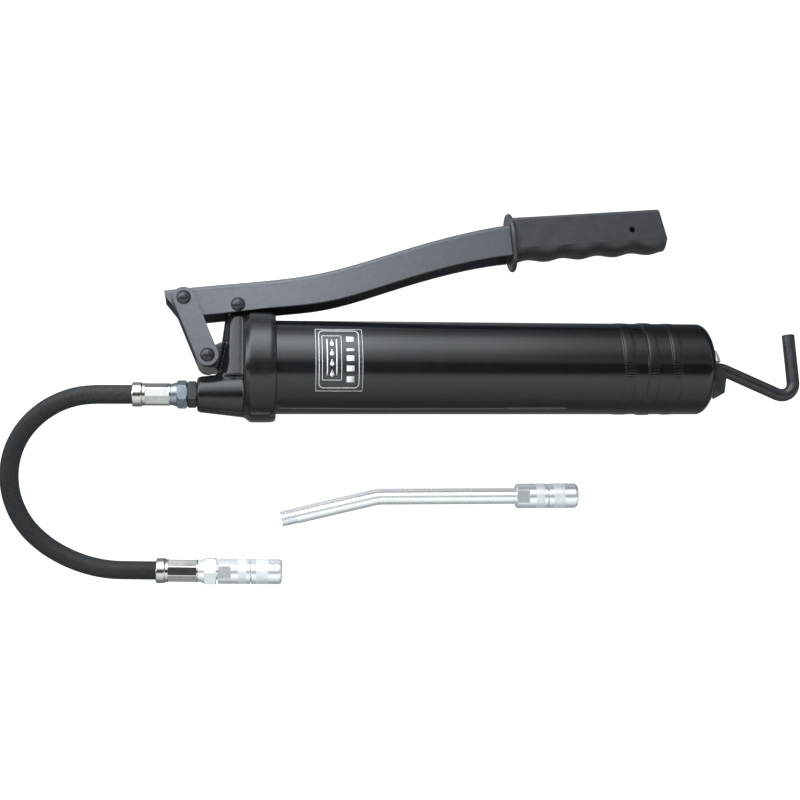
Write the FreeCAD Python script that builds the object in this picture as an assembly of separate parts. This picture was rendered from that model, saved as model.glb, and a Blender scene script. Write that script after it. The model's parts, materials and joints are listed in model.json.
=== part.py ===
import FreeCAD, Part
import math
import os

# Hand-lever grease gun lying on its side on a flat surface, lever beside the barrel.
# Everything on the gun is drawn in the gun's own frame, then laid down by REST:
#   +X along the barrel towards the follower handle, +Y towards the lever, +Z up.
# X = 0 is the rear rim of the head, Y = Z = 0 is the barrel axis. Millimetres.

Vec = FreeCAD.Vector

# ---- how the gun lies ------------------------------------------------------------
ROLL = 10.45          # degrees, lever side down until the grip flange touches
PITCH = 1.08          # degrees, rear end down on the middle bead
AXIS_HEIGHT = 33.47   # barrel axis above the floor at X = 0
SHIFT = Vec(-123.74, -1.53, 0.0)

# ---- head ------------------------------------------------------------------------
CAP_R = 33.5
CAP_FRONT = -19.0
BORE_FLOOR = -12.0
NOSE_Y = -16.9
NOSE_FRONT = -46.9
NOSE_R = 10.75
NOSE_ROOT_R = 14.4
PUMP_X = -22.5
PILLAR_TOP = 31.0
PILLAR_TOP_R = 7.7
PILLAR_BASE = -7.5
PILLAR_BASE_R = 12.8
PUMP_BOTTOM = -20.0
EAR_HALF = 11.4
RUN_FIT = 0.05

# ---- lever linkage -----------------------------------------------------------------
PIVOT_A = (-54.8, 39.6)     # lever to links
PIVOT_B = (-22.5, 36.4)     # lever to plunger
PIVOT_C = (-40.6, 4.5)      # links to head
RIVET_R = 2.5
RIVET_HEAD_R = 4.35
RIVET_HEAD_H = 2.4
LEVER_HALF = 11.5
LEVER_ROUND = 3.0
SHEET = 2.0
LINK_IN = 11.8
LINK_OUT = 14.6
LINK_R = 6.5

# ---- plunger -----------------------------------------------------------------------
PLUNGER_R = 4.0
PLUNGER_FOOT = -8.0
SLOT_HALF_LEN = 4.3
SLOT_HALF_HIGH = 3.15

# ---- barrel ------------------------------------------------------------------------
BARREL_R = 28.5
WALL = 1.2
BARREL_FRONT = -10.4
BARREL_REAR = 272.6
DOME_DEEP = 8.6           # the rear end is a quarter ellipse, this deep
DOME_TALL = 17.0
COLLAR_LENGTH = 5.3
BEADS = ((210.3, 218.6, 28.65), (225.6, 233.2, 28.9), (240.8, 247.9, 28.65))

# ---- follower ----------------------------------------------------------------------
ROD_R = 4.0
ROD_HEAD_X = -8.0
PISTON_R = 27.2
SPRING_R = 19.5
SPRING_WIRE_R = 1.1
SPRING_TURNS = 22
HOOK = ((281.9, 0.0), (329.1, -21.1), (327.6, 22.5))
HOOK_BENDS = (12.0, 8.0)

# ---- grip --------------------------------------------------------------------------
GRIP_AT = (147.7, 81.05)
GRIP_ANGLE = 4.7
GRIP_LENGTH = 100.5
GRIP_TOP = 13.4
GRIP_BOTTOM = 12.4
GRIP_HALF = 11.8
GRIP_END_HALF = 10.7
GRIP_RIDGE = -6.5        # where the flat sides end and the finger side starts
GRIP_END_LEAN = 9.0
GRIP_ROUND = 2.0
FINGER_PITCH = 22.5
FINGER_DEPTH = 0.9
TAIL_LENGTH = 82.0
TAIL_LOW = -6.0
TAIL_TOP = 8.0
TAIL_HALF = 7.5
HANG_HOLE = (77.5, 0.6, 1.9)

# ---- hose --------------------------------------------------------------------------
HOSE_R = 5.7
FERRULE_END = -85.1
HOSE_INSERT = 4.0
HOSE_LEAD = (8.0, 20.8)
HOSE_BENDS = ((50.0, 56.5, 4), (90.0, 49.3, 7), (38.7, 79.0, 3))
HOSE_TAIL = (9.4, 21.3)
HOSE_DROP = 140.0
HOSE_RISE = 45.0
HOSE_FLOOR = 5.85
TIP_AXIS_Z = 9.1
TIP_NUT = 15.6

# ---- coupler -----------------------------------------------------------------------
COUPLER_R = 7.8
COUPLER_LENGTH = 39.5
MOUTH_R = 3.3

# ---- spare pipe --------------------------------------------------------------------
PIPE_R = 5.0
PIPE_BORE_R = 3.0
PIPE_STRAIGHT = 88.2
PIPE_LEG = 62.0
PIPE_TURN = 12.8
PIPE_BEND_R = 28.0
PIPE_THREAD = 9.5     # length of the thread at the plain end
THREAD_R = 4.8
PIPE_AT = Vec(153.0, -80.7, 7.75)
PIPE_PITCH = -1.0

REST = FreeCAD.Placement(Vec(0, 0, AXIS_HEIGHT) + SHIFT, FreeCAD.Rotation(Vec(0, 1, 0), PITCH))
REST = REST.multiply(FreeCAD.Placement(Vec(0, 0, 0), FreeCAD.Rotation(Vec(1, 0, 0), -ROLL)))


# ---- small tools -------------------------------------------------------------------
def positive(shape):
    if shape.Volume < 0:
        shape.reverse()
    return shape


def turned(profile, y=0.0, z=0.0):
    """Solid of revolution about a line along X; profile is (x, radius) points."""
    corners = [Vec(x, y + r, z) for x, r in profile]
    face = Part.Face(Part.makePolygon(corners + corners[:1]))
    return positive(face.revolve(Vec(0, y, z), Vec(1, 0, 0), 360))


def ring(x0, x1, r_in, r_out, y=0.0, z=0.0):
    return turned([(x0, r_in), (x0, r_out), (x1, r_out), (x1, r_in)], y, z)


def rod_x(x0, x1, radius, y=0.0, z=0.0):
    return Part.makeCylinder(radius, x1 - x0, Vec(x0, y, z), Vec(1, 0, 0))


def rod_y(x, y0, y1, radius):
    return Part.makeCylinder(radius, y1 - y0, Vec(x, y0, 0), Vec(0, 1, 0))


def rod_z(at, half, radius):
    return Part.makeCylinder(radius, 2 * half, Vec(at[0], at[1], -half), Vec(0, 0, 1))


def prism(points, z0, z1):
    corners = [Vec(x, y, z0) for x, y in points]
    face = Part.Face(Part.makePolygon(corners + corners[:1]))
    return positive(face.extrude(Vec(0, 0, z1 - z0)))


def block(x0, x1, y0, y1, z0, z1):
    return Part.makeBox(x1 - x0, y1 - y0, z1 - z0, Vec(x0, y0, z0))


def hexagon(x0, x1, across_flats, y=0.0, turn=0.0):
    """Hexagon bar along X with its end corners turned off."""
    corner_r = across_flats / math.sqrt(3.0)
    corners = []
    for step in range(6):
        angle = math.radians(60 * step + turn)
        corners.append(Vec(x0, y + corner_r * math.cos(angle), corner_r * math.sin(angle)))
    bar = Part.Face(Part.makePolygon(corners + corners[:1])).extrude(Vec(x1 - x0, 0, 0))
    low = across_flats / 2 - 0.1
    profile = [(x0, 0), (x0, low), (x0 + 0.9, corner_r), (x1 - 0.9, corner_r), (x1, low), (x1, 0)]
    return positive(bar).common(turned(profile, y))


def strap(p, q, radius, z0, z1):
    """Flat bar with round ends about the points p and q."""
    dx, dy = q[0] - p[0], q[1] - p[1]
    length = math.hypot(dx, dy)
    nx, ny = -dy / length * radius, dx / length * radius
    corners = [(p[0] + nx, p[1] + ny), (p[0] - nx, p[1] - ny)]
    corners += [(q[0] - nx, q[1] - ny), (q[0] + nx, q[1] + ny)]
    bar = prism(corners, z0, z1)
    for end in (p, q):
        bar = bar.fuse(Part.makeCylinder(radius, z1 - z0, Vec(end[0], end[1], z0)))
    return bar.removeSplitter()


def rivet_head_z(radius):
    ball_r = (RIVET_HEAD_R ** 2 + RIVET_HEAD_H ** 2) / (2 * RIVET_HEAD_H)
    return RIVET_HEAD_H - ball_r + math.sqrt(ball_r ** 2 - radius ** 2)


def rivet(at, half):
    """Shank with a low round head at each end, turned about a line along Z."""
    flat_r, mid_r = 0.5, 0.6 * RIVET_HEAD_R
    crown = half + rivet_head_z(flat_r)
    shoulder = half + rivet_head_z(mid_r)
    edges = [Part.makeLine(Vec(0, 0, -crown), Vec(flat_r, 0, -crown))]
    low_arc = Part.Arc(Vec(flat_r, 0, -crown), Vec(mid_r, 0, -shoulder), Vec(RIVET_HEAD_R, 0, -half))
    edges.append(low_arc.toShape())
    for start, end in (((RIVET_HEAD_R, -half), (RIVET_R, -half)), ((RIVET_R, -half), (RIVET_R, half)),
                       ((RIVET_R, half), (RIVET_HEAD_R, half))):
        edges.append(Part.makeLine(Vec(start[0], 0, start[1]), Vec(end[0], 0, end[1])))
    high_arc = Part.Arc(Vec(RIVET_HEAD_R, 0, half), Vec(mid_r, 0, shoulder), Vec(flat_r, 0, crown))
    edges.append(high_arc.toShape())
    edges.append(Part.makeLine(Vec(flat_r, 0, crown), Vec(0, 0, crown)))
    edges.append(Part.makeLine(Vec(0, 0, crown), Vec(0, 0, -crown)))
    body = positive(Part.Face(Part.Wire(edges)).revolve(Vec(0, 0, 0), Vec(0, 0, 1), 360))
    body.translate(Vec(at[0], at[1], 0))
    return body


def coil(x0, x1, radius, wire_r, turns):
    """Helical spring along X between the wire centres x0 and x1."""
    helix = Part.makeHelix((x1 - x0) / turns, x1 - x0, radius)
    spine = Part.Wire(helix.Edges)
    section = Part.Wire(Part.makeCircle(wire_r, Vec(radius, 0, 0), Vec(0, 1, 0)))
    spring = spine.makePipeShell([section], True, True)
    spring.Placement = FreeCAD.Placement(Vec(x0, 0, 0), FreeCAD.Rotation(Vec(0, 1, 0), 90))
    return positive(spring)


def bent_line(points, bends):
    """Wire of straight runs joined by tangent arcs of the given radii."""
    edges = []
    start = points[0]
    for index, radius in enumerate(bends):
        before, corner, after = points[index], points[index + 1], points[index + 2]
        come = (corner - before).normalize()
        leave = (after - corner).normalize()
        half = come.getAngle(leave) / 2
        trim = radius * math.tan(half)
        enter = corner - come * trim
        exit_at = corner + leave * trim
        inward = (leave - come).normalize()
        middle = corner + inward * (radius / math.cos(half) - radius)
        edges.append(Part.LineSegment(start, enter).toShape())
        edges.append(Part.Arc(enter, middle, exit_at).toShape())
        start = exit_at
    edges.append(Part.LineSegment(start, points[-1]).toShape())
    return Part.Wire(edges)


def swept(spine, radius):
    first = spine.Edges[0]
    along = first.tangentAt(first.FirstParameter)
    section = Part.Wire(Part.makeCircle(radius, first.valueAt(first.FirstParameter), along))
    return positive(spine.makePipeShell([section], True, True))


def smooth_step(value):
    value = min(1.0, max(0.0, value))
    return value * value * (3 - 2 * value)


# ---- head and its fittings ---------------------------------------------------------
def head_body():
    cap = turned([(CAP_FRONT, 0), (CAP_FRONT, 30.6), (-15.2, CAP_R), (-2.4, CAP_R), (-1.9, 33.0),
                  (-0.7, 33.0), (0, 32.3), (0, 0)])
    nose = turned([(NOSE_FRONT, 0), (NOSE_FRONT, 9.6), (-45.8, NOSE_R), (-15, NOSE_ROOT_R), (-15, 0)], NOSE_Y)
    height = PILLAR_TOP - PILLAR_BASE
    pillar = Part.makeCone(PILLAR_BASE_R, PILLAR_TOP_R, height, Vec(PUMP_X, PILLAR_BASE, 0), Vec(0, 1, 0))
    core = rod_y(PUMP_X, -24.0, 0, 8.5)
    ear = Part.makeCylinder(LINK_R, 2 * EAR_HALF, Vec(PIVOT_C[0], PIVOT_C[1], -EAR_HALF))
    ear = ear.fuse(prism([(-38.4, 10.6), (-30, 14.3), (-34, -2.6), (-41.5, -1.9)], -EAR_HALF, EAR_HALF))
    web = prism([(-38, 10), (PUMP_X, 13), (PUMP_X, -6), (-38, -1.8)], -7, 7)
    return cap.fuse([nose, pillar, core, ear, web]).removeSplitter()


def head_casting():
    body = head_body()
    cuts = [rod_x(BORE_FLOOR, 1, BARREL_R + RUN_FIT)]
    cuts.append(rod_y(PUMP_X, PUMP_BOTTOM, PILLAR_TOP + 1, PLUNGER_R + RUN_FIT))
    cuts.append(rod_y(PUMP_X, 25.5, 28.5, 5.9))
    cuts.append(rod_x(PUMP_X, BORE_FLOOR + 1, 3.0))
    cuts.append(rod_x(-30, PUMP_X, 2.0, NOSE_Y))
    cuts.append(rod_x(-41, -30, 4.4, NOSE_Y))
    cuts.append(rod_x(-48, -41, 5.0, NOSE_Y))
    cuts.append(rod_z(PIVOT_C, 20, RIVET_R + RUN_FIT))
    return body.cut(cuts)


def plunger_seal():
    seal = ring(25.5, 28.5, PLUNGER_R + 0.03, 5.9)
    seal.Placement = FreeCAD.Placement(Vec(PUMP_X, 0, 0), FreeCAD.Rotation(Vec(0, 0, 1), 90))
    return seal


def outlet_bushing():
    bar = hexagon(-52.6, NOSE_FRONT, 14.2, NOSE_Y)
    bar = bar.fuse(rod_x(NOSE_FRONT, -41, 5.0, NOSE_Y))
    bar = bar.cut(rod_x(-53, -47.5, 3.9, NOSE_Y))
    return bar.cut(rod_x(-48, -40, 2.0, NOSE_Y))


def check_ball():
    return Part.makeSphere(3.0, Vec(-32.3, NOSE_Y, 0))


def check_spring():
    spring = coil(-40.6, -35.8, 2.5, 0.35, 5)
    spring.translate(Vec(0, NOSE_Y, 0))
    return spring


def barrel_gasket():
    return ring(BORE_FLOOR, BARREL_FRONT, 22.5, 28.3)


# ---- hose --------------------------------------------------------------------------
def crimped(x0, x1, radius, r_in, turn):
    """Crimped sleeve: eight pressed facets round a tube."""
    sleeve = ring(x0, x1, r_in, radius)
    tools = []
    for step in range(8):
        tool = block(x0 + 1.8, x1 - 0.6, radius - 0.45, radius + 2, -4, 4)
        tool.rotate(Vec(0, 0, 0), Vec(1, 0, 0), 45 * step + turn)
        tools.append(tool)
    return sleeve.cut(tools)


def hose_nut():
    """Hexagon hose end drawn from X = 0 (screwed face) towards -X, flared to the ferrule."""
    nut = hexagon(-6.2, 0, 15.0)
    flare = turned([(-10.2, 0), (-10.2, 6.2), (-6.2, 7.3), (-6.2, 0)])
    nut = nut.fuse([rod_x(0, 5.0, 3.9), flare]).removeSplitter()
    return nut.cut(rod_x(-11, 6, 1.8))


def head_ferrule():
    sleeve = crimped(-79.2, -62.8, 6.8, 2.2, -2)
    collar = turned([(FERRULE_END, 6.3), (FERRULE_END, 6.9), (-84.5, 7.4), (-79.8, 7.4),
                     (-79.2, 6.9), (-79.2, 2.2), (-80, 2.2), (-80, 6.3)])
    sleeve = sleeve.fuse(collar).removeSplitter()
    sleeve = sleeve.cut(rod_x(FERRULE_END - 1, FERRULE_END + HOSE_INSERT, HOSE_R))
    sleeve.translate(Vec(0, NOSE_Y, 0))
    return sleeve


def hose_exit():
    return REST.multVec(Vec(FERRULE_END, NOSE_Y, 0))


def hose_route():
    """Corner points of the hose: three bends in plan, falling to the floor."""
    start = hose_exit()
    heading = math.radians(180)
    plan = [(start.x + HOSE_INSERT, start.y)]
    plan.append((start.x - HOSE_LEAD[0], start.y))
    x, y = start.x - HOSE_LEAD[1], start.y
    for angle, radius, steps in HOSE_BENDS:
        turn = math.radians(angle) / steps
        reach = radius * math.tan(turn / 2)
        for _ in range(steps):
            x, y = x + reach * math.cos(heading), y + reach * math.sin(heading)
            plan.append((x, y))
            heading += turn
            x, y = x + reach * math.cos(heading), y + reach * math.sin(heading)
    reach = [HOSE_TAIL[0], HOSE_TAIL[1] + HOSE_INSERT, HOSE_TAIL[1]]
    ends = [(x + far * math.cos(heading), y + far * math.sin(heading)) for far in reach]
    return plan + ends[:2], ends[2], heading


def hose_points():
    plan, _, _ = hose_route()
    start_z = hose_exit().z
    lengths = [0.0]
    for (x0, y0), (x1, y1) in zip(plan, plan[1:]):
        lengths.append(lengths[-1] + math.hypot(x1 - x0, y1 - y0))
    points = []
    for (x, y), along in zip(plan, lengths):
        climb = (min(along, lengths[1]) - HOSE_INSERT) * math.tan(math.radians(PITCH))
        fallen = smooth_step((along - lengths[1]) / HOSE_DROP)
        risen = smooth_step((along - lengths[-2] + HOSE_RISE) / HOSE_RISE)
        top = start_z + climb
        points.append(Vec(x, y, top + (HOSE_FLOOR - top) * fallen + (TIP_AXIS_Z - HOSE_FLOOR) * risen))
    return points


def hose():
    points = hose_points()
    radii = []
    for before, corner, after in zip(points, points[1:], points[2:]):
        half = (corner - before).getAngle(after - corner) / 2
        shorter = min((corner - before).Length, (after - corner).Length)
        radii.append(0.45 * shorter / math.tan(half))
    spine = bent_line(points, radii)
    tube = swept(spine, HOSE_R)
    print("hose length", round(spine.Length, 1), "smallest bend", round(min(radii), 1))
    print("hose volume", round(tube.Volume), "section x length", round(math.pi * HOSE_R ** 2 * spine.Length))
    for point in points:
        print("route", round(point.x, 2), round(point.y, 2), round(point.z, 2))
    return tube


def tip_place():
    _, end, heading = hose_route()
    turn = FreeCAD.Rotation(Vec(0, 0, 1), math.degrees(heading))
    return FreeCAD.Placement(Vec(end[0], end[1], TIP_AXIS_Z), turn)


def tip_ferrule():
    """Far ferrule drawn from X = 0 (hose mouth) towards +X."""
    collar = turned([(0, 6.3), (0, 7.2), (0.6, 7.75), (5.0, 7.75),
                     (5.6, 7.3), (5.6, 2.2), (4.9, 2.2), (4.9, 6.3)])
    sleeve = collar.fuse(crimped(5.6, 25.3, 7.15, 2.2, -4)).removeSplitter()
    return sleeve.cut(rod_x(-1, HOSE_INSERT, HOSE_R))


def tip_nut():
    nut = hexagon(29.4, 36.8, TIP_NUT, 0.0, 30.0)
    flare = turned([(25.3, 0), (25.3, 6.5), (29.4, 7.6), (29.4, 0)])
    nut = nut.fuse([flare, rod_x(36.8, 37.8, 5.2), rod_x(37.8, 43.0, 3.9)]).removeSplitter()
    return nut.cut(rod_x(25, 44, 1.8))


# ---- nipple coupler, drawn from its rear face at X = 0 to its mouth ----------------
def coupler_body():
    body = turned([(0, 0), (0, 7.3), (0.5, COUPLER_R), (19.7, COUPLER_R), (20.2, 7.4), (20.2, 0)])
    for side in (-1, 1):
        body = body.cut(block(-1, 8.0, -9, 9, min(6.7 * side, 9 * side), max(6.7 * side, 9 * side)))
    body = body.fuse(rod_x(20.2, 25.5, 6.4))
    return body.cut([rod_x(-1, 5.2, 3.9), rod_x(5, 9, 1.8), rod_x(8, 26, 4.9)])


def coupler_sleeve():
    sleeve = turned([(20.5, 0), (20.5, 7.4), (21.0, COUPLER_R), (37.6, COUPLER_R), (38.7, 7.4),
                     (39.3, 6.7), (COUPLER_LENGTH, 5.8), (COUPLER_LENGTH, 0)])
    sleeve = sleeve.cut([rod_x(20, 25.5, 6.4), rod_x(25, 36.2, 5.6)])
    return sleeve.cut(rod_x(36, 41, 4.2))


def coupler_jaws():
    """Four separate collet jaws that close on the nipple."""
    collar = turned([(27.0, 2.2), (27.0, 5.5), (34.2, 5.5), (35.6, 4.1), (38.9, 4.1), (38.9, 3.8),
                     (38.2, MOUTH_R), (34.0, MOUTH_R), (32.0, 2.2)])
    jaws = []
    for step in range(4):
        quarter = block(26, 40, 0.3, 8, 0.3, 8)
        quarter.rotate(Vec(0, 0, 0), Vec(1, 0, 0), 90 * step)
        jaws.append(collar.common(quarter).Solids[0])
    return Part.makeCompound(jaws)


def coupler_seal():
    return ring(22.4, 26.9, 1.3, 4.8)


def coupler_spring():
    return coil(9.2, 21.6, 3.7, 0.55, 7)


# ---- lever, links, plunger ---------------------------------------------------------
TOP_LINE = ((-66.6, 45.1), (-15.4, 50.8), (27.8, 57.2), (72.1, 70.6), (117.1, 84.1), (145.85, 90.1))
LOW_LINE = ((147.2, 70.2), (117.0, 64.7), (72.0, 51.3), (27.9, 38.3),
            (0, 34.9), (-17, 32.8), (-44, 29.6), (-56, 28.6))


def curve(points, drop=0.0, z=0.0):
    line = Part.BSplineCurve()
    line.interpolate([Vec(x, y - drop, z) for x, y in points])
    return line.toShape()


def channel_block(drop, half, low_drop):
    """Bar bounded by the lever's two long curves, each lowered by its drop."""
    top = curve(TOP_LINE, drop, -half)
    low = curve(LOW_LINE, low_drop, -half)
    start_top = Vec(TOP_LINE[0][0], TOP_LINE[0][1] - drop, -half)
    end_top = Vec(TOP_LINE[-1][0], TOP_LINE[-1][1] - drop, -half)
    start_low = Vec(LOW_LINE[0][0], LOW_LINE[0][1] - low_drop, -half)
    end_low = Vec(LOW_LINE[-1][0], LOW_LINE[-1][1] - low_drop, -half)
    nose = Vec(-66.2, 41.6, -half)
    edges = [top, Part.makeLine(end_top, start_low), low]
    edges += [Part.makeLine(end_low, nose), Part.makeLine(nose, start_top)]
    return positive(Part.Face(Part.Wire(edges)).extrude(Vec(0, 0, 2 * half)))


def channel_solid(drop, half, round_r, low_drop):
    solid = channel_block(drop, half, low_drop)
    long_edges = []
    for edge in solid.Edges:
        middle = edge.valueAt((edge.FirstParameter + edge.LastParameter) / 2)
        flat = abs(abs(middle.z) - half) < 1e-3
        if flat and edge.Length > 150 and middle.y > 57.5:
            long_edges.append(edge)
    return solid.makeFillet(round_r, long_edges)


def on_grip(shape):
    """Moves a shape from the grip's own axis (X along the grip) to the gun."""
    turn = FreeCAD.Rotation(Vec(0, 0, 1), GRIP_ANGLE)
    shape.Placement = FreeCAD.Placement(Vec(GRIP_AT[0], GRIP_AT[1], 0), turn).multiply(shape.Placement)
    return shape


def lever_tail():
    bar = block(-6, TAIL_LENGTH, TAIL_LOW, TAIL_TOP, -TAIL_HALF, TAIL_HALF)
    hollow = block(-7, TAIL_LENGTH + 1, TAIL_LOW - 1, TAIL_TOP - SHEET, SHEET - TAIL_HALF, TAIL_HALF - SHEET)
    return on_grip(bar.cut(hollow))


def hang_hole(radius):
    u, v, _ = HANG_HOLE
    return on_grip(Part.makeCylinder(radius, 40, Vec(u, v, -20), Vec(0, 0, 1)))


def lever_channel():
    """Pressed channel, kept as three solids: its back with the tail, and its two flanges."""
    outer = channel_solid(0.0, LEVER_HALF, LEVER_ROUND, 0.0)
    inner = channel_solid(SHEET, LEVER_HALF - SHEET, 1.0, 6.0)
    inner = inner.fuse(block(-70, -60, 20, 43.0, SHEET - LEVER_HALF, LEVER_HALF - SHEET))
    lever = outer.cut(inner).fuse(lever_tail())
    lever = lever.cut([rod_z(PIVOT_A, 20, RIVET_R + RUN_FIT), rod_z(PIVOT_B, 20, RIVET_R)])
    lever = lever.cut(hang_hole(HANG_HOLE[2]))
    below = channel_block(LEVER_ROUND + 0.2, LEVER_HALF + 1, 1.0)
    below = below.cut(block(GRIP_AT[0] - 6.5, GRIP_AT[0] + 20, 40, 110, -20, 20))
    return Part.makeCompound(lever.cut(below).Solids + lever.common(below).Solids)


def link_plates():
    plates = []
    for z0 in (LINK_IN, -LINK_OUT):
        bar = strap(PIVOT_A, PIVOT_C, LINK_R, z0, z0 + LINK_OUT - LINK_IN)
        plates.append(bar.cut([rod_z(PIVOT_A, 20, RIVET_R), rod_z(PIVOT_C, 20, RIVET_R)]))
    return Part.makeCompound([plate.Solids[0] for plate in plates])


def plunger():
    rod = rod_y(PUMP_X, PLUNGER_FOOT, PIVOT_B[1], PLUNGER_R)
    eye = block(PUMP_X - 6.8, PUMP_X + 6.8, PIVOT_B[1] - 4.7, PIVOT_B[1] + 4.7, -5.5, 5.5)
    upright = [edge for edge in eye.Edges if abs(edge.tangentAt(edge.FirstParameter).z) > 0.9]
    eye = eye.makeFillet(3.6, upright)
    run = SLOT_HALF_LEN - SLOT_HALF_HIGH
    slot = strap((PUMP_X - run, PIVOT_B[1]), (PUMP_X + run, PIVOT_B[1]), SLOT_HALF_HIGH, -9, 9)
    return rod.fuse(eye).cut(slot)


# ---- grip --------------------------------------------------------------------------
def grip_block():
    """Flat-sided upper part of the grip, narrower towards its leaning end."""
    ends = []
    for u, half in ((0.8, GRIP_HALF), (GRIP_LENGTH, GRIP_END_HALF)):
        around = ((GRIP_RIDGE, -half), (GRIP_TOP, -half), (GRIP_TOP, half), (GRIP_RIDGE, half))
        corners = [Vec(u, v, z) for v, z in around]
        ends.append(Part.makePolygon(corners + corners[:1]))
    body = positive(Part.makeLoft(ends, True, True))
    beyond = block(GRIP_LENGTH, GRIP_LENGTH + 20, -40, 60, -30, 30)
    beyond.rotate(Vec(GRIP_LENGTH, GRIP_RIDGE, 0), Vec(0, 0, 1), GRIP_END_LEAN)
    body = body.cut(beyond)
    rounded = []
    for edge in body.Edges:
        middle = edge.CenterOfMass
        if middle.x > 5 and middle.y > GRIP_RIDGE + 1:
            rounded.append(edge)
    return body.makeFillet(GRIP_ROUND, rounded)


def finger_side():
    """Crowned underside of the grip with its finger waves."""
    sections = []
    steps = 36
    for step in range(steps + 1):
        share = step / steps
        u = 0.8 + (GRIP_LENGTH - 1.6) * share
        half = GRIP_HALF + (GRIP_END_HALF - GRIP_HALF) * share
        wave = FINGER_DEPTH * math.cos(2 * math.pi * (u - 11.0) / FINGER_PITCH)
        left, right = Vec(u, GRIP_RIDGE, -half), Vec(u, GRIP_RIDGE, half)
        arc = Part.Arc(left, Vec(u, wave - GRIP_BOTTOM, 0), right).toShape()
        sections.append(Part.Wire([arc, Part.makeLine(right, left)]))
    return positive(Part.makeLoft(sections, True, False))


def grip_flange():
    rings = []
    for u, scale in ((-1.0, 0.93), (-0.6, 0.98), (0.1, 1.0), (0.9, 1.0), (1.5, 0.98), (1.9, 0.93)):
        loop = Part.Ellipse(Vec(0, 0, 0), 18.7 * scale, 15.0 * scale).toShape()
        loop.Placement = FreeCAD.Placement(Vec(u, 0, 0), FreeCAD.Rotation(Vec(1, 1, 1), 120))
        rings.append(Part.Wire(loop))
    return positive(Part.makeLoft(rings, True, False))


def grip():
    body = on_grip(grip_block()).fuse([on_grip(finger_side()), on_grip(grip_flange())]).removeSplitter()
    return body.cut([lever_tail(), hang_hole(HANG_HOLE[2])])


# ---- barrel, follower, latch -------------------------------------------------------
def capsule(x0, x1, radius, deep, tall):
    """Cylinder whose rear rim is a quarter ellipse, deep along X and tall across it."""
    start = x1 - deep
    curve_at = Part.Ellipse(Vec(start, radius, 0), Vec(x1, radius - tall, 0), Vec(start, radius - tall, 0))
    rim = Part.ArcOfEllipse(curve_at, 0, math.pi / 2).toShape()
    side = [Vec(x0, 0, 0), Vec(x0, radius, 0), Vec(start, radius, 0)]
    rear = [Vec(x1, radius - tall, 0), Vec(x1, 0, 0), Vec(x0, 0, 0)]
    edges = [rim] + Part.makePolygon(side).Edges + Part.makePolygon(rear).Edges
    outline = Part.Wire(Part.__sortEdges__(edges))
    return positive(Part.Face(outline).revolve(Vec(0, 0, 0), Vec(1, 0, 0), 360))


def barrel_tube():
    shell = capsule(BARREL_FRONT, BARREL_REAR, BARREL_R, DOME_DEEP, DOME_TALL)
    for x0, x1, radius in BEADS:
        bead = turned([(x0, 27.5), (x0, BARREL_R), (x0 + 0.3, radius),
                       (x1 - 0.3, radius), (x1, BARREL_R), (x1, 27.5)])
        shell = shell.fuse(bead)
    rear, inner_r = BARREL_REAR - WALL, BARREL_R - WALL
    shell = shell.cut(capsule(BARREL_FRONT - 1, rear, inner_r, DOME_DEEP - WALL / 2, DOME_TALL - WALL))
    return shell.cut(rod_x(BARREL_REAR - 5, BARREL_REAR + 5, 5.9))


def barrel_label():
    sheet = ring(22.6, 51.2, BARREL_R, BARREL_R + 0.15)
    return sheet.common(block(22, 52, -19.2, 19.2, 0, 40))


def rear_collar():
    """Half-round keeper over the latch with the rod's guide bush."""
    end = BARREL_REAR + COLLAR_LENGTH
    collar = turned([(BARREL_REAR, 0), (BARREL_REAR, 13.6), (end - 2.9, 13.4), (end - 1.1, 12.2),
                     (end, 10.4), (end, 0)])
    collar = collar.cut(block(BARREL_REAR - 5, end + 5, -20, 2.6, -20, 20))
    guide = rod_x(BARREL_REAR - 4, end, 5.9)
    collar = collar.fuse(guide).removeSplitter()
    return collar.cut(rod_x(BARREL_REAR - 6, end + 5, ROD_R + RUN_FIT))


def latch_plate():
    profile = ((0.3, 0.0), (2.3, 2.3), (4.2, 2.3), (9.6, -4.8), (7.3, -16.6), (5.6, -17.6), (0.3, -13.0))
    body = prism([(BARREL_REAR + x, y) for x, y in profile], -8.4, 8.4)
    return body.cut(block(BARREL_REAR - 1, BARREL_REAR + 10, -11.2, 3, -6.2, 6.2))


def piston_cup():
    return turned([(-9.5, 25.2), (-9.5, 26.6), (-8.5, PISTON_R), (-0.5, PISTON_R), (0, 26.6), (0, 6.0),
                   (-3.6, 6.0), (-3.6, 23.0)])


def piston_sleeve():
    return turned([(-4.2, ROD_R + RUN_FIT), (-4.2, 12.0), (-3.6, 12.0), (-3.6, 6.0), (0, 6.0), (0, 6.01),
                   (10, 6.0), (10, ROD_R + RUN_FIT)])


def piston_plate():
    return turned([(0, 6.05), (0, 24.6), (1.4, 24.6), (1.4, 6.05)])


def piston_spring():
    return coil(1.5 + SPRING_WIRE_R, BARREL_REAR - 4.5, SPRING_R, SPRING_WIRE_R, SPRING_TURNS)


def follower_rod():
    points = [Vec(-4.8, 0, 0)] + [Vec(x, y, 0) for x, y in HOOK]
    rod = swept(bent_line(points, HOOK_BENDS), ROD_R)
    return rod.fuse(rod_x(ROD_HEAD_X, -4.8, 8.0))


# ---- spare pipe, drawn from the rear face of its coupler at X = 0 towards -X -------
def pipe_line(extra):
    turn = math.radians(PIPE_TURN)
    bend = Vec(-PIPE_STRAIGHT, 0, 0)
    tip = bend + Vec(-math.cos(turn), -math.sin(turn), 0) * (PIPE_LEG + extra)
    return bent_line([Vec(5.2 + extra, 0, 0), bend, tip], [PIPE_BEND_R])


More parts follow.
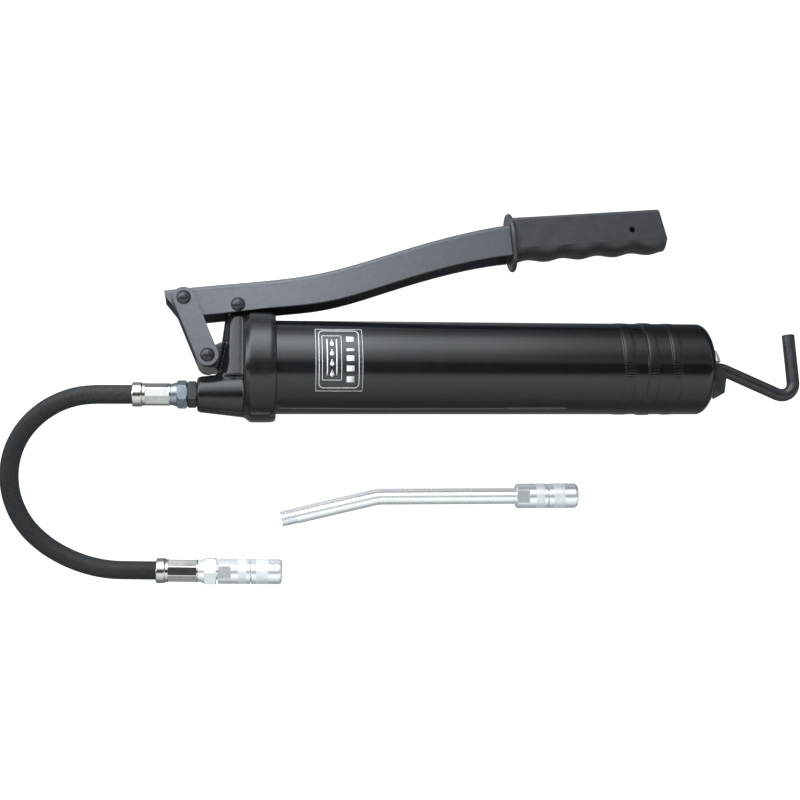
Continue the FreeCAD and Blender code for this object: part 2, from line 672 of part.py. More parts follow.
def thread_tool():
    """Turns the pipe's end down to the crests of its thread and cuts the rings."""
    cuts = [ring(PIPE_LEG - PIPE_THREAD, PIPE_LEG + 1, THREAD_R, PIPE_R + 1)]
    for step in range(int(PIPE_THREAD)):
        at = PIPE_LEG - 0.9 - step
        cuts.append(turned([(at - 0.35, THREAD_R + 0.2), (at, THREAD_R - 0.4), (at + 0.35, THREAD_R + 0.2)]))
    tool = Part.makeCompound(cuts)
    tool.Placement = FreeCAD.Placement(
        Vec(-PIPE_STRAIGHT, 0, 0), FreeCAD.Rotation(Vec(0, 0, 1), PIPE_TURN + 180))
    return tool


def pipe_tube():
    neck = rod_x(0, 6, 20).cut(rod_x(-1, 7, 3.9))
    pipe = swept(pipe_line(0), PIPE_R).cut([neck, swept(pipe_line(1), PIPE_BORE_R)])
    return pipe.cut(thread_tool())


def pipe_place():
    return FreeCAD.Placement(PIPE_AT + SHIFT, FreeCAD.Rotation(Vec(0, 1, 0), PIPE_PITCH))


# ---- write the nodes ---------------------------------------------------------------
def placed(shape, placement):
    shape.Placement = placement.multiply(shape.Placement)
    return shape


def write(name, shape):
    kind = "ok" if shape.isValid() else "NOT VALID"
    print(name, kind, len(shape.Solids), "solids", round(shape.Volume))
    shape.exportStep("parts/" + name + ".step")


def coupler_nodes(prefix, placement):
    write(prefix + "coupler_body", placed(coupler_body(), placement))
    write(prefix + "coupler_sleeve", placed(coupler_sleeve(), placement))
    write(prefix + "coupler_jaws", placed(coupler_jaws(), placement))
    write(prefix + "coupler_seal", placed(coupler_seal(), placement))
    write(prefix + "coupler_spring", placed(coupler_spring(), placement))


def main():
    head_nut = hose_nut()
    head_nut.translate(Vec(-52.6, NOSE_Y, 0))
    gun = {
        "head_casting": head_casting(),
        "plunger_seal": plunger_seal(),
        "outlet_bushing": outlet_bushing(),
        "check_ball": check_ball(),
        "check_spring": check_spring(),
        "barrel_gasket": barrel_gasket(),
        "hose_nut_head": head_nut,
        "hose_ferrule_head": head_ferrule(),
        "lever_channel": lever_channel(),
        "lever_rivet": rivet(PIVOT_B, LEVER_HALF),
        "grip": grip(),
        "link_plates": link_plates(),
        "link_rivet_top": rivet(PIVOT_A, LINK_OUT),
        "link_rivet_bottom": rivet(PIVOT_C, LINK_OUT),
        "plunger": plunger(),
        "barrel_tube": barrel_tube(),
        "barrel_label": barrel_label(),
        "rear_collar": rear_collar(),
        "latch_plate": latch_plate(),
        "piston_cup": piston_cup(),
        "piston_sleeve": piston_sleeve(),
        "piston_plate": piston_plate(),
        "piston_spring": piston_spring(),
        "follower_rod": follower_rod(),
    }
    for name, shape in gun.items():
        write(name, placed(shape, REST))
    write("hose_rubber", hose())
    tip = tip_place()
    write("hose_ferrule_tip", placed(tip_ferrule(), tip))
    write("hose_nut_tip", placed(tip_nut(), tip))
    coupler_nodes("", tip.multiply(FreeCAD.Placement(Vec(37.8, 0, 0), FreeCAD.Rotation())))
    spare = pipe_place()
    write("pipe_tube", placed(pipe_tube(), spare))
    coupler_nodes("pipe_", spare)


main()
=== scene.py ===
import json
import math

import bpy
from mathutils import Matrix, Vector


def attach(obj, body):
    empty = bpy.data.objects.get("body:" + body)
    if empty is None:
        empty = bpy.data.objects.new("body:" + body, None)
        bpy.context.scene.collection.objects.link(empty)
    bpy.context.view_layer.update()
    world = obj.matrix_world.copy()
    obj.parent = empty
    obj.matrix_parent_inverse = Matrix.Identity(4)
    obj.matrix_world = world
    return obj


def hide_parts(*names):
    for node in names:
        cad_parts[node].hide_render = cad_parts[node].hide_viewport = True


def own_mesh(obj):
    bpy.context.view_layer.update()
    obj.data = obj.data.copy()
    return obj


MM = 0.001

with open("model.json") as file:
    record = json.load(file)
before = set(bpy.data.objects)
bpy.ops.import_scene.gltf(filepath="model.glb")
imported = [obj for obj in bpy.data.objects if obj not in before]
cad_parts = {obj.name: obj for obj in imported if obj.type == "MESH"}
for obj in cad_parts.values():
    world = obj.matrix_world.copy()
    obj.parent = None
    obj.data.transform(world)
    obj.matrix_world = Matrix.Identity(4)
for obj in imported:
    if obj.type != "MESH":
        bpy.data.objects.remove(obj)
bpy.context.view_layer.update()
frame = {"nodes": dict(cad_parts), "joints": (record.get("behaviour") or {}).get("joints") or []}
nodes = frame["nodes"]

# ---- the camera: almost straight above, a little to the head side --------------------
CAMERA_AT = Vector((-0.13410, -0.02585, 0.90582))
CAMERA_BACK = Vector((-0.11955, -0.00529, 0.99281))
CAMERA_UP = Vector((-0.00152, 0.99999, 0.00515))
LENS_MM = 64.23
SHIFT_X = -0.0375

# ---- the hose: its route's corner points in millimetres ------------------------------
HOSE_ROUTE = (
    (-204.77, -18.15, 38.06),
    (-216.77, -18.15, 38.29),
    (-235.75, -18.15, 36.66),
    (-247.84, -20.83, 34.13),
    (-259.05, -26.06, 30.77),
    (-268.87, -33.59, 26.83),
    (-276.42, -42.59, 22.81),
    (-281.49, -52.47, 18.97),
    (-284.23, -63.24, 15.28),
    (-284.51, -74.35, 11.95),
    (-282.30, -85.23, 9.16),
    (-277.74, -95.36, 7.11),
    (-271.03, -104.22, 6.00),
    (-259.93, -113.53, 5.85),
    (-244.03, -121.67, 6.17),
    (-226.71, -126.05, 7.92),
    (-208.39, -126.46, 9.10),
    (-192.49, -126.82, 9.10),
)
HOSE_DIAMETER = 11.4

# ---- the gun's own frame: X along the barrel, Y towards the lever, Z up --------------
ROD_END_X = 281.0
BEADS = ((210.3, 218.6, 28.65), (225.6, 233.2, 28.90), (240.8, 247.9, 28.65))
BEAD_RIBS = 112
BEAD_RIB_HIGH = 0.05
BEAD_SKIN = 0.04
BEAD_MARGIN = 0.6
LABEL_FRONT = 22.6
LABEL_HALF_Y = 19.2
LABEL_R = 28.67

# ---- the label's print, measured from the label's front end and from its low side ----
# Each frame: front, rear, inset at the low and at the high side, corner radius, line width.
LABEL_FRAMES = (
    (0.4, 28.2, 0.4, 0.4, 0.2, 0.22),
    (2.3, 26.0, 2.0, 1.6, 2.6, 0.42),
    (4.2, 15.6, 6.2, 5.2, 0.2, 0.32),
)
SIGN_BARS = (6.8, 12.4)
SIGN_BAR_WIDE = 0.7
SIGN_BAR_INSETS = (8.6, 7.4)
DROPS = 4
DROP_X, DROP_FROM, DROP_PITCH = 9.95, 9.2, 6.2
DROP_R, DROP_LONG = 1.25, 3.0
BLOCK_X = (18.6, 23.2)
BLOCK_FROM, BLOCK_PITCH = 5.0, 6.1
BLOCKS = (3.312, 3.312, 3.312, 1.584, 3.312)
INK_THICK = 0.03

# ---- the couplers, from the rear face of their body ----------------------------------
COUPLER_R = 7.8
KNURLS = ((12.2, 17.9), (23.3, 31.1))
KNURL_RIBS = 46
KNURL_HIGH = 0.07
KNURL_SKIN = 0.03
RING_SUNK = 0.06

# ---- the softened casting ------------------------------------------------------------
CAST_VOXEL = 0.6
CAST_ROUNDS = 14


def add_object(name, data):
    """A new object in the scene."""
    made = bpy.data.objects.new(name, data)
    bpy.context.scene.collection.objects.link(made)
    return made


def joint(name):
    """The record's joint of that name."""
    return next(j for j in frame["joints"] if j["name"] == name)


def gun_place():
    """Matrix from the gun's own frame, in millimetres, to the row frame in metres."""
    along = Vector(joint("barrel_screws_off")["axis"]).normalized()
    up = Vector(joint("lever_pump")["axis"]).normalized()
    side = up.cross(along).normalized()
    origin = Vector(joint("rod_turns")["pos_m"]) - along * ROD_END_X * MM
    turn = Matrix((along, side, up)).transposed()
    return Matrix.Translation(origin) @ turn.to_4x4() @ Matrix.Scale(MM, 4)


def axis_place(node, direction):
    """Matrix whose X runs along direction through the middle of node, from its rear face."""
    along = Vector(direction).normalized()
    side = Vector((0, 0, 1)).cross(along).normalized()
    up = along.cross(side)
    origin = Vector()
    for axis, at_end in ((along, True), (side, False), (up, False)):
        reach = [v.co.dot(axis) for v in nodes[node].data.vertices]
        origin += axis * (min(reach) if at_end else (min(reach) + max(reach)) / 2)
    turn = Matrix((along, side, up)).transposed()
    return Matrix.Translation(origin) @ turn.to_4x4() @ Matrix.Scale(MM, 4)


GUN = gun_place()


# ---- materials -----------------------------------------------------------------------
class Finish:
    """A procedural material: one Principled shader with noise on colour, roughness and bump."""

    def __init__(self, name, colour, roughness, metallic=0.0, ior=1.5):
        self.material = bpy.data.materials.new(name)
        self.material.use_nodes = True
        self.tree = self.material.node_tree
        self.shader = self.tree.nodes["Principled BSDF"]
        self.shader.inputs["Base Color"].default_value = (*colour, 1)
        self.shader.inputs["Roughness"].default_value = roughness
        self.shader.inputs["Metallic"].default_value = metallic
        self.shader.inputs["IOR"].default_value = ior
        self.colour = colour
        self.roughness = roughness
        self.place = self.node("ShaderNodeTexCoord").outputs["Object"]
        self.paint = None
        self.surface = None

    def node(self, kind, **settings):
        made = self.tree.nodes.new(kind)
        for name, value in settings.items():
            setattr(made, name, value)
        return made

    def link(self, source, target):
        self.tree.links.new(source, target)

    def noise(self, size_mm, detail=3.0):
        """Noise from 0 to 1 whose features are about size_mm across."""
        texture = self.node("ShaderNodeTexNoise")
        texture.inputs["Scale"].default_value = 1.0 / (size_mm * MM)
        texture.inputs["Detail"].default_value = detail
        self.link(self.place, texture.inputs["Vector"])
        return texture.outputs["Fac"]

    def spread(self, value, low, high, to_low, to_high):
        """Value from low..high mapped to to_low..to_high."""
        mapped = self.node("ShaderNodeMapRange")
        settings = (low, high, to_low, to_high)
        for name, number in zip(("From Min", "From Max", "To Min", "To Max"), settings):
            mapped.inputs[name].default_value = number
        self.link(value, mapped.inputs["Value"])
        return mapped.outputs["Result"]

    def vary_colour(self, size_mm, darker=0.0, other=None):
        """Mixes the colour by noise with one that is darker by a share, or with a given one."""
        other = other or tuple(c * (1 - darker) for c in self.colour)
        mix = self.node("ShaderNodeMix", data_type="RGBA")
        mix.inputs["A"].default_value = (*self.colour, 1)
        mix.inputs["B"].default_value = (*other, 1)
        share = self.spread(self.noise(size_mm, 4), 0.35, 0.65, 0, 1)
        self.link(share, mix.inputs["Factor"])
        self.link(mix.outputs["Result"], self.shader.inputs["Base Color"])
        self.paint = mix.outputs["Result"]
        return self

    def vary_roughness(self, size_mm, amount):
        """Lets the roughness wander by amount to both sides."""
        low, high = self.roughness - amount, self.roughness + amount
        value = self.spread(self.noise(size_mm), 0.3, 0.7, low, high)
        self.link(value, self.shader.inputs["Roughness"])
        return self

    def grain(self, size_mm, depth_mm, detail=2.0):
        """Adds bump of that size and depth."""
        bump = self.node("ShaderNodeBump")
        bump.inputs["Distance"].default_value = depth_mm * MM
        self.link(self.noise(size_mm, detail), bump.inputs["Height"])
        if self.surface is not None:
            self.link(self.surface, bump.inputs["Normal"])
        self.surface = bump.outputs["Normal"]
        self.link(self.surface, self.shader.inputs["Normal"])
        return self

    def soft_edges(self, radius_mm):
        """Rounds sharp edges in the shading, as paint or plating does."""
        bevel = self.node("ShaderNodeBevel", samples=4)
        bevel.inputs["Radius"].default_value = radius_mm * MM
        self.surface = bevel.outputs["Normal"]
        self.link(self.surface, self.shader.inputs["Normal"])
        return self

    def worn_edges(self, radius_mm, colour, amount):
        """Blends the varied colour towards another where an edge turns sharply, in patches."""
        bevel = self.node("ShaderNodeBevel", samples=4)
        bevel.inputs["Radius"].default_value = radius_mm * MM
        geometry = self.node("ShaderNodeNewGeometry")
        turn = self.node("ShaderNodeVectorMath", operation="DOT_PRODUCT")
        self.link(bevel.outputs["Normal"], turn.inputs[0])
        self.link(geometry.outputs["Normal"], turn.inputs[1])
        edge = self.spread(turn.outputs["Value"], 0.97, 0.8, 0, amount)
        broken = self.node("ShaderNodeMath", operation="MULTIPLY")
        self.link(edge, broken.inputs[0])
        self.link(self.spread(self.noise(1.5, 4), 0.4, 0.6, 0, 1), broken.inputs[1])
        mix = self.node("ShaderNodeMix", data_type="RGBA")
        mix.inputs["B"].default_value = (*colour, 1)
        self.link(broken.outputs["Value"], mix.inputs["Factor"])
        self.link(self.paint, mix.inputs["A"])
        self.link(mix.outputs["Result"], self.shader.inputs["Base Color"])
        return self


def gloss_enamel():
    """Stove enamel on the barrel: deep gloss with a slight orange peel."""
    finish = Finish("gloss_enamel", (0.004, 0.005, 0.006), 0.10)
    finish.grain(2.2, 0.004, 1.0).vary_roughness(14, 0.03)
    finish.vary_colour(9, 0.25).worn_edges(0.4, (0.06, 0.063, 0.066), 0.5)
    return finish.material


def ribbed_enamel():
    """The barrel's enamel where it fills the pressed ribs: a little softer."""
    finish = Finish("ribbed_enamel", (0.004, 0.005, 0.006), 0.16)
    finish.grain(2.2, 0.004, 1.0).vary_roughness(8, 0.03).vary_colour(9, 0.25)
    return finish.material


def cast_enamel():
    """The same enamel over a sand casting: softer gloss, faint pitting."""
    finish = Finish("cast_enamel", (0.005, 0.006, 0.007), 0.15)
    finish.soft_edges(0.8).grain(3.0, 0.02, 2.0).grain(0.5, 0.004)
    finish.vary_roughness(6, 0.05).vary_colour(5, 0.3)
    finish.worn_edges(0.6, (0.07, 0.073, 0.078), 0.5)
    return finish.material


def satin_enamel():
    """Satin enamel on the pressed lever and the links."""
    finish = Finish("satin_enamel", (0.052, 0.056, 0.062), 0.42, ior=1.4)
    finish.soft_edges(0.6).grain(0.7, 0.006).grain(3.0, 0.006)
    finish.vary_roughness(4, 0.05).vary_colour(2.5, 0.12)
    finish.worn_edges(0.4, (0.12, 0.125, 0.13), 0.4)
    return finish.material


def rivet_enamel():
    """Painted rivet heads: darker, with a peened top."""
    finish = Finish("rivet_enamel", (0.010, 0.011, 0.013), 0.26)
    finish.soft_edges(0.3).grain(1.1, 0.02).vary_roughness(2, 0.06).vary_colour(1.5, 0.3)
    return finish.material


def blackened_steel():
    """Oiled black steel of the follower rod, the hook and the latch."""
    finish = Finish("blackened_steel", (0.030, 0.031, 0.034), 0.27, 0.25)
    finish.soft_edges(0.4).grain(1.0, 0.004, 3.0).vary_roughness(5, 0.08).vary_colour(4, 0.35)
    finish.worn_edges(0.4, (0.16, 0.16, 0.17), 0.5)
    return finish.material


def bright_zinc():
    """Bright plating on the hose nut at the tip, the couplers, the rear collar and the spare
    pipe.
    """
    finish = Finish("bright_zinc", (0.88, 0.885, 0.885), 0.23, 0.72)
    finish.soft_edges(0.35).grain(0.8, 0.0015, 3.0).vary_roughness(3, 0.06)
    finish.vary_colour(6, other=(0.83, 0.845, 0.855))
    return finish.material


def knurled_zinc():
    """The same plating on the knurls: paler and matt."""
    finish = Finish("knurled_zinc", (0.78, 0.785, 0.79), 0.45, 0.5)
    finish.grain(0.5, 0.003, 2.0).vary_roughness(2, 0.05).vary_colour(2, 0.12)
    return finish.material


def bright_chrome():
    """Warm bright plating of the crimped ferrules."""
    finish = Finish("bright_chrome", (0.60, 0.59, 0.55), 0.12, 1.0)
    finish.soft_edges(0.3).grain(1.2, 0.0015, 2.0).vary_roughness(4, 0.04)
    finish.vary_colour(5, other=(0.53, 0.52, 0.48))
    return finish.material


def dull_zinc():
    """Duller plating on the hose nut at the head."""
    finish = Finish("dull_zinc", (0.36, 0.39, 0.43), 0.32, 1.0)
    finish.soft_edges(0.4).grain(0.6, 0.003, 3.0).vary_roughness(2.5, 0.08)
    finish.vary_colour(4, other=(0.27, 0.30, 0.35))
    return finish.material


def rubber():
    """Matt rubber of the hose, dusted with fine talc."""
    finish = Finish("hose_rubber_skin", (0.014, 0.0155, 0.0165), 0.55, ior=1.30)
    finish.grain(0.35, 0.006, 3.0).grain(5.0, 0.02).vary_roughness(3, 0.06)
    finish.vary_colour(1.8, other=(0.021, 0.0225, 0.024))
    return finish.material


def grip_plastic():
    """Moulded soft plastic of the grip, lightly polished by hands."""
    finish = Finish("grip_plastic_skin", (0.026, 0.028, 0.031), 0.36)
    finish.soft_edges(0.5).grain(0.5, 0.004).grain(9, 0.03, 1.0).vary_roughness(7, 0.07)
    finish.vary_colour(6, 0.25)
    return finish.material


def label_film():
    """Dark printed film, slightly smoother than the enamel under it."""
    finish = Finish("label_film_skin", (0.016, 0.018, 0.020), 0.16)
    finish.grain(4.0, 0.003).vary_roughness(5, 0.03).vary_colour(3, 0.2)
    return finish.material


def label_ink():
    """Silver-grey ink."""
    finish = Finish("label_ink", (0.42, 0.43, 0.44), 0.45)
    finish.grain(0.3, 0.002).vary_roughness(2, 0.05).vary_colour(1.2, 0.15)
    return finish.material


def spring_steel():
    """Plain steel of springs, jaws, ball and piston."""
    finish = Finish("spring_steel", (0.42, 0.41, 0.40), 0.30, 1.0)
    finish.soft_edges(0.2).grain(0.5, 0.002, 3.0).vary_roughness(2, 0.08)
    finish.vary_colour(3, other=(0.33, 0.32, 0.31))
    return finish.material


SKINS = {
    gloss_enamel: ("barrel_tube",),
    cast_enamel: ("head_casting",),
    satin_enamel: ("lever_channel", "link_plates"),
    rivet_enamel: ("lever_rivet", "link_rivet_top", "link_rivet_bottom"),
    blackened_steel: ("follower_rod", "latch_plate", "outlet_bushing", "plunger"),
    bright_zinc: (
        "hose_nut_tip", "coupler_body", "coupler_sleeve", "pipe_tube", "pipe_coupler_body",
        "pipe_coupler_sleeve", "rear_collar",
    ),
    bright_chrome: ("hose_ferrule_head", "hose_ferrule_tip"),
    dull_zinc: ("hose_nut_head",),
    rubber: (
        "hose_rubber", "plunger_seal", "barrel_gasket", "piston_cup", "coupler_seal",
        "pipe_coupler_seal",
    ),
    grip_plastic: ("grip",),
    label_film: ("barrel_label",),
    spring_steel: (
        "check_ball", "check_spring", "piston_sleeve", "piston_plate", "piston_spring",
        "coupler_jaws", "coupler_spring", "pipe_coupler_jaws", "pipe_coupler_spring",
    ),
}


def dress(obj, material):
    """Gives the object that one material."""
    obj.data.materials.clear()
    obj.data.materials.append(material)


def dress_nodes():
    """Dresses every CAD node, and returns each recipe's material."""
    made = {}
    for recipe, names in SKINS.items():
        made[recipe] = recipe()
        for name in names:
            dress(nodes[name], made[recipe])
    return made


def soften_casting():
    """Melts the head casting's corners into small cast fillets."""
    head = nodes["head_casting"]
    melt = head.modifiers.new("melt", "REMESH")
    melt.mode = "VOXEL"
    melt.voxel_size = CAST_VOXEL * MM
    melt.use_smooth_shade = True
    smooth = head.modifiers.new("smooth", "SMOOTH")
    smooth.factor = 0.5
    smooth.iterations = CAST_ROUNDS


# ---- pieces --------------------------------------------------------------------------
def mesh_piece(name, points, faces, material, place, smooth=True):
    """A mesh object from points in millimetres in place's frame."""
    mesh = bpy.data.meshes.new(name)
    mesh.from_pydata([place @ Vector(p) for p in points], [], faces)
    mesh.validate()
    mesh.update()
    mesh.polygons.foreach_set("use_smooth", [smooth] * len(mesh.polygons))
    piece = add_object(name, mesh)
    dress(piece, material)
    return piece


def hose(material):
    """The free hose, one smooth line from ferrule to ferrule."""
    line = bpy.data.curves.new("hose", "CURVE")
    line.dimensions = "3D"
    line.bevel_depth = HOSE_DIAMETER / 2 * MM
    line.bevel_resolution = 10
    line.resolution_u = 24
    line.use_fill_caps = True
    spline = line.splines.new("NURBS")
    spline.points.add(len(HOSE_ROUTE) - 1)
    for point, (x, y, z) in zip(spline.points, HOSE_ROUTE):
        point.co = (x * MM, y * MM, z * MM, 1)
    spline.order_u = 3
    spline.use_endpoint_u = True
    piece = add_object("hose", line)
    line.materials.append(material)
    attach(piece, "head")
    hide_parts("hose_rubber")


def follower_spring(material):
    """The follower spring, a copy of the CAD spring with its own mesh, carried with the barrel.
    """
    node = nodes["piston_spring"]
    piece = add_object("follower_spring", node.data.copy())
    dress(piece, material)
    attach(piece, "barrel")
    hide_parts("piston_spring")
    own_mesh(piece)


def ribbed_ring(name, place, span, radius, around, along, height, material):
    """Closed ring about X whose skin is radius plus height(angle, x), sunk at both ends."""
    x0, x1 = span
    rows = [(x0, radius - RING_SUNK, 0.0)]
    for step in range(1, along):
        fade = min(1.0, 4 * step / along, 4 * (along - step) / along)
        rows.append((x0 + (x1 - x0) * step / along, radius, fade))
    rows.append((x1, radius - RING_SUNK, 0.0))
    points = []
    for x, r, fade in rows:
        for step in range(around):
            angle = 2 * math.pi * step / around
            reach = r + fade * height(angle, x)
            points.append((x, reach * math.cos(angle), reach * math.sin(angle)))
    faces = []
    for row in range(len(rows)):
        here, there = row * around, (row + 1) % len(rows) * around
        for step in range(around):
            after = (step + 1) % around
            faces.append((here + step, here + after, there + after, there + step))
    return mesh_piece(name, points, faces, material, place)


def bead_ribs(material):
    """Pressed ribs that run along the barrel on each of its three beads."""

    def height(angle, x):
        return BEAD_RIB_HIGH * (0.5 + 0.5 * math.cos(BEAD_RIBS * angle)) + BEAD_SKIN

    for index, (x0, x1, radius) in enumerate(BEADS):
        name = f"bead_ribs_{index + 1}"
        span = (x0 + BEAD_MARGIN, x1 - BEAD_MARGIN)
        piece = ribbed_ring(name, GUN, span, radius, BEAD_RIBS * 8, 8, height, material)
        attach(piece, "barrel")


def knurls(material):
    """Diamond knurling on the two couplers."""
    slant = KNURL_RIBS / COUPLER_R

    def height(angle, x):
        one = math.cos(KNURL_RIBS * angle + slant * x)
        other = math.cos(KNURL_RIBS * angle - slant * x)
        return KNURL_HIGH * (0.5 + 0.25 * (one + other)) + KNURL_SKIN

    couplers = (
        ("coupler", "jaws_retract", "head"),
        ("pipe_coupler", "pipe_jaws_retract", "spare_pipe"),
    )
    for prefix, jaws, body in couplers:
        forward = -Vector(joint(jaws)["axis"])
        place = axis_place(f"{prefix}_body", forward)
        for index, span in enumerate(KNURLS):
            name = f"{prefix}_knurl_{index + 1}"
            along, around = int((span[1] - span[0]) * 7), KNURL_RIBS * 7
            piece = ribbed_ring(name, place, span, COUPLER_R, around, along, height, material)
            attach(piece, body)


# ---- the label's print ---------------------------------------------------------------
def on_barrel(x, y):
    """Point of the label's plan on the barrel's skin."""
    return (x, y, math.sqrt(LABEL_R * LABEL_R - y * y))


def rounded_outline(x0, x1, y0, y1, corner, pieces=24, bend=6):
    """Closed outline of a rounded rectangle, finely divided."""
    centres = (
        (x1 - corner, y0 + corner, -90), (x1 - corner, y1 - corner, 0),
        (x0 + corner, y1 - corner, 90), (x0 + corner, y0 + corner, 180),
    )
    arcs = []
    for cx, cy, start in centres:
        angles = [math.radians(start + 90 * step / bend) for step in range(bend + 1)]
        arcs.append([(cx + corner * math.cos(a), cy + corner * math.sin(a)) for a in angles])
    outline = []
    for arc, following in zip(arcs, arcs[1:] + arcs[:1]):
        outline += arc
        (xa, ya), (xb, yb) = arc[-1], following[0]
        for step in range(1, pieces):
            share = step / pieces
            outline.append((xa + (xb - xa) * share, ya + (yb - ya) * share))
    return outline


class Print:
    """Gathers the label's printed shapes into one thin mesh."""

    def __init__(self):
        self.points = []
        self.faces = []

    def add(self, flat_points, faces):
        start = len(self.points)
        self.points += [on_barrel(x, y) for x, y in flat_points]
        self.faces += [tuple(start + i for i in face) for face in faces]

    def frame(self, x0, x1, y0, y1, corner, width):
        """Rounded rectangular line."""
        half = width / 2
        tight = max(0.05, corner - half)
        outer = rounded_outline(x0 - half, x1 + half, y0 - half, y1 + half, corner + half)
        inner = rounded_outline(x0 + half, x1 - half, y0 + half, y1 - half, tight)
        count = len(outer)
        faces = [(i, (i + 1) % count, count + (i + 1) % count, count + i) for i in range(count)]
        self.add(outer + inner, faces)

    def slab(self, x0, x1, y0, y1, steps=12):
        """Filled rectangle, divided along Y."""
        flat = []
        for step in range(steps + 1):
            y = y0 + (y1 - y0) * step / steps
            flat += [(x0, y), (x1, y)]
        faces = [(2 * i, 2 * i + 1, 2 * i + 3, 2 * i + 2) for i in range(steps)]
        self.add(flat, faces)

    def drop(self, x, y, radius, length, steps=32):
        """Filled drop whose point is towards +Y."""
        flat = [(x, y)]
        for step in range(steps):
            angle = 2 * math.pi * step / steps
            reach = max(0.0, math.cos(angle))
            side = radius * math.sin(angle) * (1 - 0.45 * reach * reach)
            tip = length * reach ** 3 + radius * math.cos(angle) * (1 - reach)
            flat.append((x + side, y + tip))
        faces = [(0, 1 + i, 1 + (i + 1) % steps) for i in range(steps)]
        self.add(flat, faces)


def label_print(material):
    """Line frame, drop sign and plain blocks. It holds no lettering."""
    x0, half = LABEL_FRONT, LABEL_HALF_Y
    art = Print()
    for front, rear, low_side, high_side, corner, width in LABEL_FRAMES:
        art.frame(x0 + front, x0 + rear, low_side - half, half - high_side, corner, width)
    low_side, high_side = SIGN_BAR_INSETS
    for front in SIGN_BARS:
        art.slab(x0 + front, x0 + front + SIGN_BAR_WIDE, low_side - half, half - high_side)
    for step in range(DROPS):
        art.drop(x0 + DROP_X, DROP_FROM - half + DROP_PITCH * step, DROP_R, DROP_LONG)
    front, rear = BLOCK_X
    for step, size in enumerate(BLOCKS):
        low = BLOCK_FROM - half + BLOCK_PITCH * step
        art.slab(x0 + front, x0 + rear, low, low + size)
    piece = mesh_piece("label_print", art.points, art.faces, material, GUN)
    skin = piece.modifiers.new("ink", "SOLIDIFY")
    skin.thickness = INK_THICK * MM
    skin.offset = 1.0
    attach(piece, "barrel")


# ---- studio --------------------------------------------------------------------------
# Angle about the barrel in degrees, 0 straight up, positive towards the lever, and strength.
STUDIO_LIGHT = (
    (-180, 0.25), (-111, 0.22), (-95, 0.33), (-81, 0.67), (-57, 0.97), (-46, 1.15), (-34, 1.27),
    (-24, 1.27), (-18, 0.95), (-13, 0.25), (-9, 0.09), (9, 0.09), (13, 0.35), (20, 0.82),
    (30, 1.20), (41, 1.90), (52, 2.60), (64, 2.90), (76, 2.20), (90, 0.80), (106, 0.22),
    (180, 0.25),
)
LIGHT_TOP = 3.0
# How the light on the lever's side fades along the barrel: direction's X and strength.
LIGHT_FADE = (
    (-1.0, 1.65), (0.08, 1.65), (0.14, 1.07), (0.19, 1.0), (0.25, 0.54), (0.28, 0.43),
    (0.345, 0.29), (1.0, 0.29),
)
FADE_TOP = 2.0
FADE_FROM, FADE_TO = 15, 25
LAMP_AT = Vector((-0.14, 0.12, 0.19))
LAMP_AIM = Vector((-0.13, 0.05, 0.045))
LAMP_SIZE = 0.08
LAMP_WATTS = 0.9
# The floor lies lower than the gun so that the lever's full swing stays above it.
FLOOR_DROP = 40.0
FLOOR_HALF = 6000.0
FLOOR_GREY = (0.22, 0.22, 0.22)
FLOOR_GLOW = 0.92
COOL = (0.93, 1.0, 1.06, 1)
WARM = (0.93, 1.0, 1.02, 1)


def ramp(tree, stops, top, low, high):
    """Colour ramp from (place, value) pairs, place from low to high and value up to top."""
    made = tree.nodes.new("ShaderNodeValToRGB")
    elements = made.color_ramp.elements
    while len(elements) < len(stops):
        elements.new(0.5)
    for element, (at, value) in zip(elements, stops):
        element.position = (at - low) / (high - low)
    for element, (at, value) in zip(elements, stops):
        element.color = (value / top, value / top, value / top, 1)
    return made


def math_node(tree, operation, *values):
    """Output of a maths node whose inputs are numbers or other outputs."""
    made = tree.nodes.new("ShaderNodeMath")
    made.operation = operation
    for index, value in enumerate(values):
        if isinstance(value, (int, float)):
            made.inputs[index].default_value = value
        else:
            tree.links.new(value, made.inputs[index])
    return made.outputs["Value"]


def mapped(tree, value, low, high, to_low, to_high):
    """Value from low..high mapped to to_low..to_high."""
    made = tree.nodes.new("ShaderNodeMapRange")
    settings = (low, high, to_low, to_high)
    for name, number in zip(("From Min", "From Max", "To Min", "To Max"), settings):
        made.inputs[name].default_value = number
    tree.links.new(value, made.inputs["Value"])
    return made.outputs["Result"]


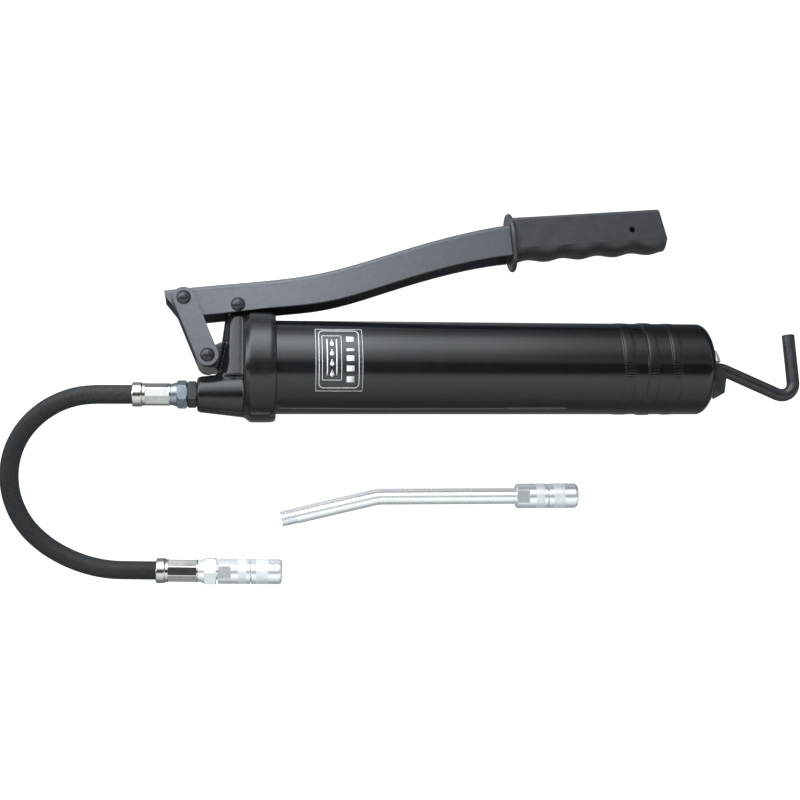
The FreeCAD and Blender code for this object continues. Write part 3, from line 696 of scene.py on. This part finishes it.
def studio_world():
    """Two long soft boxes, one each side of the barrel, with a dark gap straight above."""
    world = bpy.data.worlds.new("studio")
    world.use_nodes = True
    bpy.context.scene.world = world
    tree = world.node_tree
    tree.nodes.clear()
    way = tree.nodes.new("ShaderNodeTexCoord").outputs["Generated"]
    split = tree.nodes.new("ShaderNodeSeparateXYZ")
    tree.links.new(way, split.inputs["Vector"])
    angle = math_node(tree, "ARCTAN2", split.outputs["Y"], split.outputs["Z"])
    light = ramp(tree, STUDIO_LIGHT, LIGHT_TOP, -180, 180)
    tree.links.new(mapped(tree, angle, -math.pi, math.pi, 0, 1), light.inputs["Fac"])
    fade = ramp(tree, LIGHT_FADE, FADE_TOP, -1, 1)
    tree.links.new(mapped(tree, split.outputs["X"], -1, 1, 0, 1), fade.inputs["Fac"])
    low, high = math.radians(FADE_FROM), math.radians(FADE_TO)
    side = mapped(tree, angle, low, high, 0, 1)
    faded = math_node(tree, "MULTIPLY", fade.outputs["Color"], FADE_TOP)
    gain = math_node(tree, "SUBTRACT", faded, 1.0)
    factor = math_node(tree, "ADD", math_node(tree, "MULTIPLY", gain, side), 1.0)
    strength = math_node(tree, "MULTIPLY", light.outputs["Color"], LIGHT_TOP)
    strength = math_node(tree, "MULTIPLY", strength, factor)
    tint = tree.nodes.new("ShaderNodeMix")
    tint.data_type = "RGBA"
    tint.inputs["A"].default_value = WARM
    tint.inputs["B"].default_value = COOL
    tree.links.new(mapped(tree, angle, -0.2, 0.3, 0, 1), tint.inputs["Factor"])
    studio = tree.nodes.new("ShaderNodeBackground")
    tree.links.new(tint.outputs["Result"], studio.inputs["Color"])
    tree.links.new(strength, studio.inputs["Strength"])
    white = tree.nodes.new("ShaderNodeBackground")
    white.inputs["Color"].default_value = (1, 1, 1, 1)
    seen = tree.nodes.new("ShaderNodeLightPath").outputs["Is Camera Ray"]
    choice = tree.nodes.new("ShaderNodeMixShader")
    tree.links.new(seen, choice.inputs["Fac"])
    tree.links.new(studio.outputs["Background"], choice.inputs[1])
    tree.links.new(white.outputs["Background"], choice.inputs[2])
    output = tree.nodes.new("ShaderNodeOutputWorld")
    tree.links.new(choice.outputs["Shader"], output.inputs["Surface"])


def studio_floor():
    """Plain white floor that glows and takes only a faint shadow."""
    corners = ((-1, -1), (1, -1), (1, 1), (-1, 1))
    points = [(x * FLOOR_HALF, y * FLOOR_HALF, -FLOOR_DROP) for x, y in corners]
    material = bpy.data.materials.new("studio_floor")
    material.use_nodes = True
    shader = material.node_tree.nodes["Principled BSDF"]
    shader.inputs["Base Color"].default_value = (*FLOOR_GREY, 1)
    shader.inputs["Roughness"].default_value = 1.0
    shader.inputs["Specular IOR Level"].default_value = 0.0
    shader.inputs["Emission Color"].default_value = (1, 1, 1, 1)
    shader.inputs["Emission Strength"].default_value = FLOOR_GLOW
    place = Matrix.Scale(MM, 4)
    floor = mesh_piece("floor", points, [(0, 1, 2, 3)], material, place, smooth=False)
    floor.visible_glossy = False


def side_lamp():
    """Square soft box above the lever's front end, so its light fades towards the grip."""
    data = bpy.data.lights.new("side_lamp", "AREA")
    data.shape = "SQUARE"
    data.size = LAMP_SIZE
    data.energy = LAMP_WATTS
    made = add_object("side_lamp", data)
    turn = (LAMP_AT - LAMP_AIM).to_track_quat("Z", "Y").to_matrix()
    made.matrix_world = Matrix.Translation(LAMP_AT) @ turn.to_4x4()
    made.visible_glossy = False
    made.visible_camera = False


def camera():
    """The camera, looking along minus CAMERA_BACK."""
    data = bpy.data.cameras.new("camera")
    data.lens = LENS_MM
    data.sensor_width = 36.0
    data.shift_x = SHIFT_X
    data.clip_start = 0.01
    data.clip_end = 50.0
    made = add_object("camera", data)
    side = CAMERA_UP.cross(CAMERA_BACK).normalized()
    up = CAMERA_BACK.cross(side).normalized()
    turn = Matrix((side, up, CAMERA_BACK.normalized())).transposed()
    made.matrix_world = Matrix.Translation(CAMERA_AT) @ turn.to_4x4()
    bpy.context.scene.camera = made
    bpy.context.scene.view_settings.view_transform = "Standard"


camera()
skins = dress_nodes()
soften_casting()
hose(skins[rubber])
bead_ribs(ribbed_enamel())
knurls(knurled_zinc())
follower_spring(skins[spring_steel])
label_print(label_ink())
studio_world()
studio_floor()
side_lamp()
